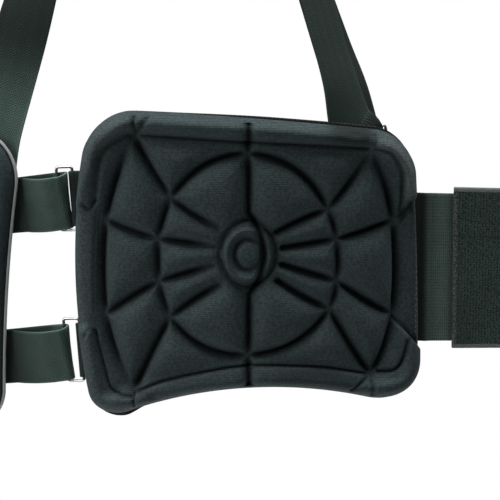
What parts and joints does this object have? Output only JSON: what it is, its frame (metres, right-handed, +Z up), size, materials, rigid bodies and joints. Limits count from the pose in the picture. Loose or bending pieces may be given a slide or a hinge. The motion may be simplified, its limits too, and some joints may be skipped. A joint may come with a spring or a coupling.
{
  "type": "karting rib protector",
  "caption": "Karting rib protector opened out: grooved foam side pads, back pad, adjuster straps with wire rings, shoulder straps and a hook-and-loop front belt.",
  "frame": {"origin": "on the wearer's centre line at the height of the side pads' hubs, 140 mm in front of the back pad's inner face", "axes": "+X to the wearer's front, +Y to the wearer's left, +Z up"},
  "size_m": [0.3316, 0.7098, 0.4427],
  "materials": {
    "foam": "knit-faced moulded foam",
    "backing": "matte lining",
    "piping": "satin",
    "webbing": "woven",
    "elastic": "ribbed weave",
    "patch": "hook and loop",
    "wire": "polished"
  },
  "bodies": {
    "root": {"side_pad_right": "foam", "side_pad_left": "foam", "side_backing_right": "backing", "side_backing_left": "backing", "adjuster_strap_upper_right": "webbing", "adjuster_strap_upper_left": "webbing", "adjuster_ring_upper_right": "wire", "adjuster_ring_upper_left": "wire", "ring_tab_upper_right": "webbing", "ring_tab_upper_left": "webbing", "adjuster_strap_lower_right": "webbing", "adjuster_strap_lower_left": "webbing", "adjuster_ring_lower_right": "wire", "adjuster_ring_lower_left": "wire", "ring_tab_lower_right": "webbing", "ring_tab_lower_left": "webbing", "shoulder_strap_right": "webbing", "shoulder_strap_left": "webbing", "shoulder_ring_right": "wire", "shoulder_ring_left": "wire", "shoulder_tab_right": "webbing", "shoulder_tab_left": "webbing", "belt_elastic_right": "elastic", "belt_elastic_left": "elastic", "belt_patch_right": "patch", "belt_patch_left": "patch", "back_pad": "foam", "back_piping": "piping"}
  },
  "joints": []
}
